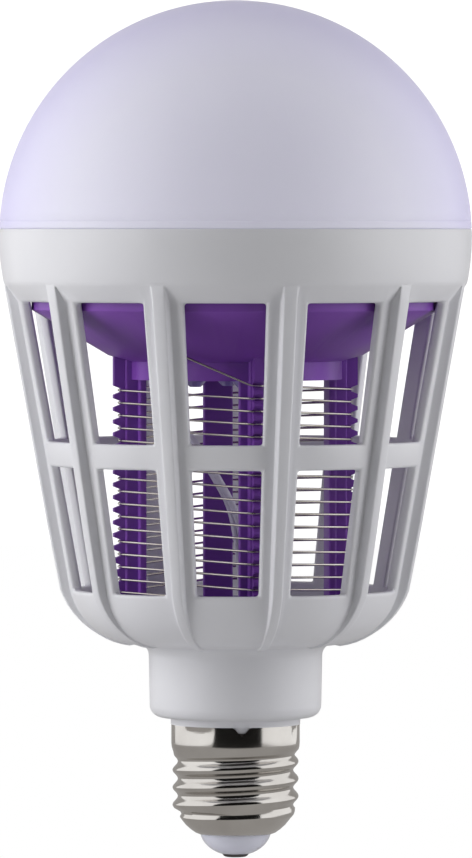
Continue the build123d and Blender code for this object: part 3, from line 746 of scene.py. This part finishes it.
def winding(first, last, rise):
    """Control points of one wire: out of the cup, round the posts and into the base plate."""
    azimuth = POST_AZIMUTH + (first - 1) * POST_PITCH - WIRE_EXIT_TURN
    points = [
        place_at(WIRE_EXIT_R, azimuth, z)
        for z in (WIRE_START_Z, WIRE_EXIT_Z + 1.0, WIRE_EXIT_Z)
    ]
    for step in range(first, last + 1):
        corner = POST_AZIMUTH + (step - 1) * POST_PITCH
        z = WIRE_TOP_Z + rise - step * WIRE_DROP
        before = place_at(WIRE_R, corner, z, -BEND)
        after = place_at(WIRE_R, corner, z, BEND)
        approach = BEND_REACH * (before - points[-1]).normalized()
        points += [before - approach, before]
        if step < last:
            follow = place_at(WIRE_R, corner + POST_PITCH, z - WIRE_DROP, -BEND)
            points += [after, after + BEND_REACH * (follow - after).normalized()]
    last_corner = POST_AZIMUTH + (last - 1) * POST_PITCH
    end = place_at(WIRE_R, last_corner, WIRE_TOP_Z + rise - last * WIRE_DROP, WIRE_TAIL)
    return points + [end, Vector((end.x, end.y, WIRE_END_Z))]


soft_line(
    "grid_wire_first", winding(-1, 33, 0), WIRE_THICKNESS, "grid_wire_a", wire_metal
)
soft_line(
    "grid_wire_second", winding(1, 34, WIRE_SPACING), WIRE_THICKNESS, "grid_wire_b",
    wire_metal,
)

# %% [markdown]
# Two insulated leads come down through the cup's floor and cross the grid to the cap. The
# insulation is soft, pale and a little waxy.

# %% Leads
LEAD_THICKNESS = 1.4
LEAD_AZIMUTH = 295.5
LEAD_ASIDE = 0.85

lead_sleeve = moulded("lead_insulation", "D9D6E4", "C9C5D8", 0.45, patch_scale=60.0)
shared = ((18.9, 112.6), (18.9, 104.0), (18.9, 96.3), (8.8, 86.4), (-4.5, 64.5))
live = [place_at(r, LEAD_AZIMUTH, z, -LEAD_ASIDE) for r, z in shared] + [Vector((0, 0, 9.75))]
neutral = [place_at(r, LEAD_AZIMUTH, z, LEAD_ASIDE) for r, z in shared]
neutral += [place_at(0, LEAD_AZIMUTH, 10.15, 2.2), place_at(0, LEAD_AZIMUTH, 10.15, 11.67)]
soft_line(
    "lead_live", live, LEAD_THICKNESS, "mains_lead_live", lead_sleeve,
    sides=4, fineness=10,
)
soft_line(
    "lead_neutral", neutral, LEAD_THICKNESS, "mains_lead_neutral", lead_sleeve,
    sides=4, fineness=10,
)

# %% [markdown]
# The screw cap is a shell of thin sheet with a thread rolled into it. Its wall is a turned
# section with many rings, and the thread is rolled by moving every point in or out along a
# helix that fades out towards the skirt and the nose. The same move presses in the crimps that
# lock the cap to the neck, and the skirt's top edge drops at a small V-shaped notch.

# %% Screw cap section
SHEET = 0.35
RINGS = 46
FIRST_RING_Z = 10.2
RING_STEP = 0.25
THREAD_MID_R = 12.6
SKIRT_R = 13.4
SKIRT_TOP_Z = 27.8

bm, chain = begin(7.75, 4.9)
for x, z in (
    (8.4, 5.15), (9.4, 5.85), (10.4, 6.75), (11.2, 7.75), (11.6, 8.3), (11.72, 8.5),
    (11.75, 9.0), (11.95, 9.5),
):
    to(bm, chain, x, z)
for i in range(RINGS):
    to(bm, chain, THREAD_MID_R, FIRST_RING_Z + i * RING_STEP)
for x, z in (
    (12.85, 22.0), (13.15, 22.5), (13.33, 23.1), (SKIRT_R, 23.9), (SKIRT_R, 25.2),
    (SKIRT_R, 26.6), (SKIRT_R, SKIRT_TOP_Z), (SKIRT_R - SHEET, SKIRT_TOP_Z),
    (13.33 - SHEET, 23.1), (12.85 - SHEET, 22.0),
):
    to(bm, chain, x, z)
for i in reversed(range(RINGS)):
    to(bm, chain, THREAD_MID_R - SHEET, FIRST_RING_Z + i * RING_STEP)
for x, z in ((11.4, 9.0), (11.2, 8.3), (9.2, 6.15), (7.4, 5.25), (7.4, 4.9)):
    to(bm, chain, x, z)
close(bm, chain)
turn(bm, 144)
print("cap turned with", len(bm.verts), "points")


# %% Thread, crimps and notch
THREAD_PITCH = 3.629
THREAD_DEPTH = 0.55
THREAD_TURN = 3.08
THREAD_FOOT_Z = 8.0
THREAD_TOP_Z = 22.4
THREAD_FADE_IN = 1.2
THREAD_FADE_OUT = 1.5
CRIMPS = (
    (-36.0, 26.9, 3.0, 0.7), (37.3, 27.2, 0.6, 0.45), (66.0, 26.9, 0.9, 0.7),
    (140.0, 26.5, 3.0, 0.8), (230.0, 26.5, 3.0, 0.8),
)
CRIMP_DEPTH = 0.45
NOTCH_AZIMUTH = 5.7
NOTCH_HALF = 1.7
NOTCH_DEPTH = 2.0
NOSE_END_Z = 7.0


def from_front(point):
    """Azimuth of a point, in degrees from the front."""
    return math.degrees(math.atan2(point.x, -point.y))


def thread_height(point):
    """How far the rolled thread moves a point of the sheet outwards."""
    start = min(max((point.z - THREAD_FOOT_Z) / THREAD_FADE_IN, 0), 1)
    end = min(max((THREAD_TOP_Z - point.z) / THREAD_FADE_OUT, 0), 1)
    around = math.atan2(point.y, point.x) / (2 * math.pi)
    phase = 2 * math.pi * (point.z / THREAD_PITCH - around) + THREAD_TURN
    return THREAD_DEPTH * math.cos(phase) * start * end


def crimp_depth(point):
    """How far the crimps press a point of the sheet inwards."""
    azimuth = from_front(point)
    depth = 0.0
    for centre, z, width, height in CRIMPS:
        away = (azimuth - centre + 180) % 360 - 180
        along = away * math.pi / 180 * SKIRT_R / width
        up = (point.z - z) / height
        depth += CRIMP_DEPTH * math.exp(-((along * along) ** 2) - (up * up) ** 2)
    return depth


def notch_drop(point):
    """How far the notch, which lets the neck's lip through, lowers a point of the top edge."""
    away = abs(from_front(point) - NOTCH_AZIMUTH) * math.pi / 180 * SKIRT_R
    return NOTCH_DEPTH * max(1 - away / NOTCH_HALF, 0) if point.z > SKIRT_TOP_Z - 0.1 else 0.0


for v in bm.verts:
    if v.co.z > NOSE_END_Z:
        v.co.z -= notch_drop(v.co)
        r = math.hypot(v.co.x, v.co.y)
        grown = (r + thread_height(v.co) - crimp_depth(v.co)) / r
        v.co.x *= grown
        v.co.y *= grown
made(bm, "screw_cap", "screw_shell", nickel, crease=60)

# %% [markdown]
# The cap's nose is white glassy insulator, domed and glossy, with a small flat contact riveted
# through it.

# %% Insulator and contact
glaze = moulded("cap_glass", "DCDDEA", "D0D1E0", 0.2, bump=0.01, subsurface=0.15, coat=0.4)
bm, chain = begin(0.95, 0.6)
for x, z in (
    (3.1, 0.6), (5.3, 1.75), (6.8, 3.3), (7.4, 4.9), (7.35, 5.2), (7.3, 9.0), (0.95, 9.0),
):
    to(bm, chain, x, z)
close(bm, chain)
ease(bm, chain, [1, 2, 3], 0.9)
turn(bm, 96)
made(bm, "insulator", "cap_insulator", glaze)

bm, chain = begin(0, 0)
for x, z in ((1.9, 0), (2.4, 0.15), (2.75, 0.6), (0.95, 0.6), (0.95, 9.7), (0, 9.7)):
    to(bm, chain, x, z)
ease(bm, chain, [1, 2], 0.15)
turn(bm, 64)
made(bm, "contact", "centre_contact", contact_metal)

# %% [markdown]
# What is inside the globe and the cup keeps the shape of its solids, and only gets a finish:
# green boards, black and dipped components, bright screws and the two kinds of lights.


# %% Inner finishes
def dress(node, material):
    """Give a solid that stays as it is its own finish."""
    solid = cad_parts[node]
    solid.data.materials.clear()
    solid.data.materials.append(material)


board_green = moulded("circuit_board", "2C6B3A", "215730", 0.35, patch_scale=120.0)
black_plastic = moulded("black_component", "232326", "18181A", 0.45, bump=0.15)
film_coat = moulded("film_case", "8E3A20", "7A2D18", 0.3)
ceramic_blue = moulded("ceramic_coat", "2F62A6", "275391", 0.35)
resistor_coat = moulded("resistor_coat", "4F8F80", "417A6C", 0.55)
phosphor = moulded("led_phosphor", "E6D27A", "DCC35E", 0.35)
uv_lens = moulded("uv_lens", "A99AD6", "8F7FC4", 0.1, bump=0.0, coat=0.5)
for node, material, slot in (
    ("led_plate", sheet_metal, "led_substrate"),
    ("white_leds", phosphor, "led_phosphor"),
    ("led_plate_screws", screw_metal, "screw_steel"),
    ("driver_board", board_green, "circuit_board"),
    ("driver_board_screws", screw_metal, "screw_steel"),
    ("bulk_capacitor", black_plastic, "black_component"),
    ("film_capacitor", film_coat, "film_case"),
    ("bridge_rectifier", black_plastic, "black_component"),
    ("drum_choke", black_plastic, "black_component"),
    ("fusible_resistor", resistor_coat, "resistor_coat"),
    ("multiplier_capacitors", ceramic_blue, "ceramic_coat"),
    ("multiplier_diodes", black_plastic, "black_component"),
    ("uv_board", board_green, "circuit_board"),
    ("uv_leds", uv_lens, "uv_lens"),
):
    dress(node, material)
print("inner pieces dressed")

# %% [markdown]
# Light. The photograph looks as if two large softboxes lit it, left and right, with little from
# the front, so the middle of every white surface is greyer than its sides. Two soft lamps stand
# for them. The world is white to the camera and to gloss, which gives the background, and weak
# for everything else.


# %% Studio
BULB_MIDDLE = Vector((0, 0, 0.09))
SOFTBOX_SIZE = (0.6, 1.2)
LEFT_POWER = 10.0
RIGHT_POWER = 7.4
AMBIENT_STRENGTH = 0.15
BACKDROP_STRENGTH = 1.15


def softbox(name, place, power):
    """Rectangular lamp that faces the middle of the bulb."""
    data = bpy.data.lights.new(name, "AREA")
    data.shape = "RECTANGLE"
    data.size, data.size_y = SOFTBOX_SIZE
    data.energy = power
    lamp = bpy.data.objects.new(name, data)
    lamp.visible_glossy = False
    lamp.location = place
    lamp.rotation_euler = (BULB_MIDDLE - Vector(place)).to_track_quat("-Z", "Y").to_euler()
    bpy.context.scene.collection.objects.link(lamp)


softbox("left_softbox", (-0.78, -0.24, 0.2), LEFT_POWER)
softbox("right_softbox", (0.79, -0.17, 0.2), RIGHT_POWER)

world = bpy.data.worlds.new("studio")
bpy.context.scene.world = world
world.use_nodes = True
nodes, links = world.node_tree.nodes, world.node_tree.links
nodes.clear()
output = nodes.new("ShaderNodeOutputWorld")
rays = nodes.new("ShaderNodeLightPath")
ambient = nodes.new("ShaderNodeBackground")
ambient.inputs["Color"].default_value = (1, 1, 1, 1)
ambient.inputs["Strength"].default_value = AMBIENT_STRENGTH
backdrop = nodes.new("ShaderNodeBackground")
backdrop.inputs["Color"].default_value = (1, 1, 1, 1)
backdrop.inputs["Strength"].default_value = BACKDROP_STRENGTH
seen = nodes.new("ShaderNodeMath")
seen.operation = "MAXIMUM"
also = nodes.new("ShaderNodeMath")
also.operation = "MAXIMUM"
mix = nodes.new("ShaderNodeMixShader")
links.new(rays.outputs["Is Camera Ray"], seen.inputs[0])
links.new(rays.outputs["Is Glossy Ray"], seen.inputs[1])
links.new(seen.outputs[0], also.inputs[0])
links.new(rays.outputs["Is Transmission Ray"], also.inputs[1])
links.new(also.outputs[0], mix.inputs["Fac"])
links.new(ambient.outputs[0], mix.inputs[1])
links.new(backdrop.outputs[0], mix.inputs[2])
links.new(mix.outputs[0], output.inputs["Surface"])
print("two softboxes and a world")

# %% [markdown]
# The floor is pale paper that looks plain white to the camera and throws light back up to the
# lamp. Three cards that the camera doesn't see shape the reflections. The dark card stands in
# front and gives the bright cap its black band, and as a flag it also holds the world's light
# off the front. The back card and the grey sheet below tone down what edges and undersides
# mirror.


# %% Floor and cards
FLOOR_HALF = 1.5
FLOOR_Z = -0.0005


def flat_sheet(name, size, matrix):
    """Flat square of the studio, placed by a matrix."""
    bm = bmesh.new()
    bmesh.ops.create_grid(bm, x_segments=1, y_segments=1, size=size, matrix=matrix)
    mesh = bpy.data.meshes.new(name)
    bm.to_mesh(mesh)
    bm.free()
    sheet = bpy.data.objects.new(name, mesh)
    bpy.context.scene.collection.objects.link(sheet)
    return sheet


floor = flat_sheet("floor", FLOOR_HALF, Matrix())
floor.location = (0, 0, FLOOR_Z)
floor.visible_glossy = False
paper, nodes, links, shader = new_material("paper_floor")
shader.inputs["Base Color"].default_value = (0.9, 0.9, 0.9, 1)
shader.inputs["Roughness"].default_value = 0.9
rays = nodes.new("ShaderNodeLightPath")
glow = nodes.new("ShaderNodeEmission")
glow.inputs["Color"].default_value = (1, 1, 1, 1)
glow.inputs["Strength"].default_value = 1.0
blend = nodes.new("ShaderNodeMixShader")
links.new(rays.outputs["Is Camera Ray"], blend.inputs["Fac"])
links.new(shader.outputs[0], blend.inputs[1])
links.new(glow.outputs[0], blend.inputs[2])
links.new(blend.outputs[0], nodes["Material Output"].inputs["Surface"])
floor.data.materials.append(paper)
floor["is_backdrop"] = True


def gloss_card(name, place, half_width, half_height, tilt, strength, flag=False):
    """Card with an even glow that only gloss sees, or that also holds the world's light back."""
    stretched = Matrix.Diagonal((half_width, half_height, 1, 1))
    card = flat_sheet(
        name, 1.0, Matrix.Translation(place) @ Matrix.Rotation(tilt, 4, "X") @ stretched
    )
    glow, _, _, shader = new_material(name)
    shader.inputs["Base Color"].default_value = (0, 0, 0, 1)
    shader.inputs["Specular IOR Level"].default_value = 0.0
    shader.inputs["Emission Color"].default_value = (1.0, 0.97, 0.94, 1)
    shader.inputs["Emission Strength"].default_value = strength
    card.data.materials.append(glow)
    card.visible_camera = False
    card.visible_diffuse = flag
    card.visible_shadow = False
    card.visible_transmission = False
    card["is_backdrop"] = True


gloss_card("dark_card", (0.065, -0.62, 0.3), 0.625, 1.0, math.pi / 2, 0.01, flag=True)
gloss_card("back_card", (0.0, 0.8, 0.3), 0.7, 1.0, math.pi / 2, 0.4)
gloss_card("grey_sheet", (0.0, 0.0, -0.15), 1.2, 1.2, 0.0, 0.4)
print("floor and three cards")

# %% [markdown]
# Last, the bounds of the dressed lamp are printed.

# %% Sizes and finish
low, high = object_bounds()
print("dressed from", tuple(round(v, 4) for v in low), "to", tuple(round(v, 4) for v in high))
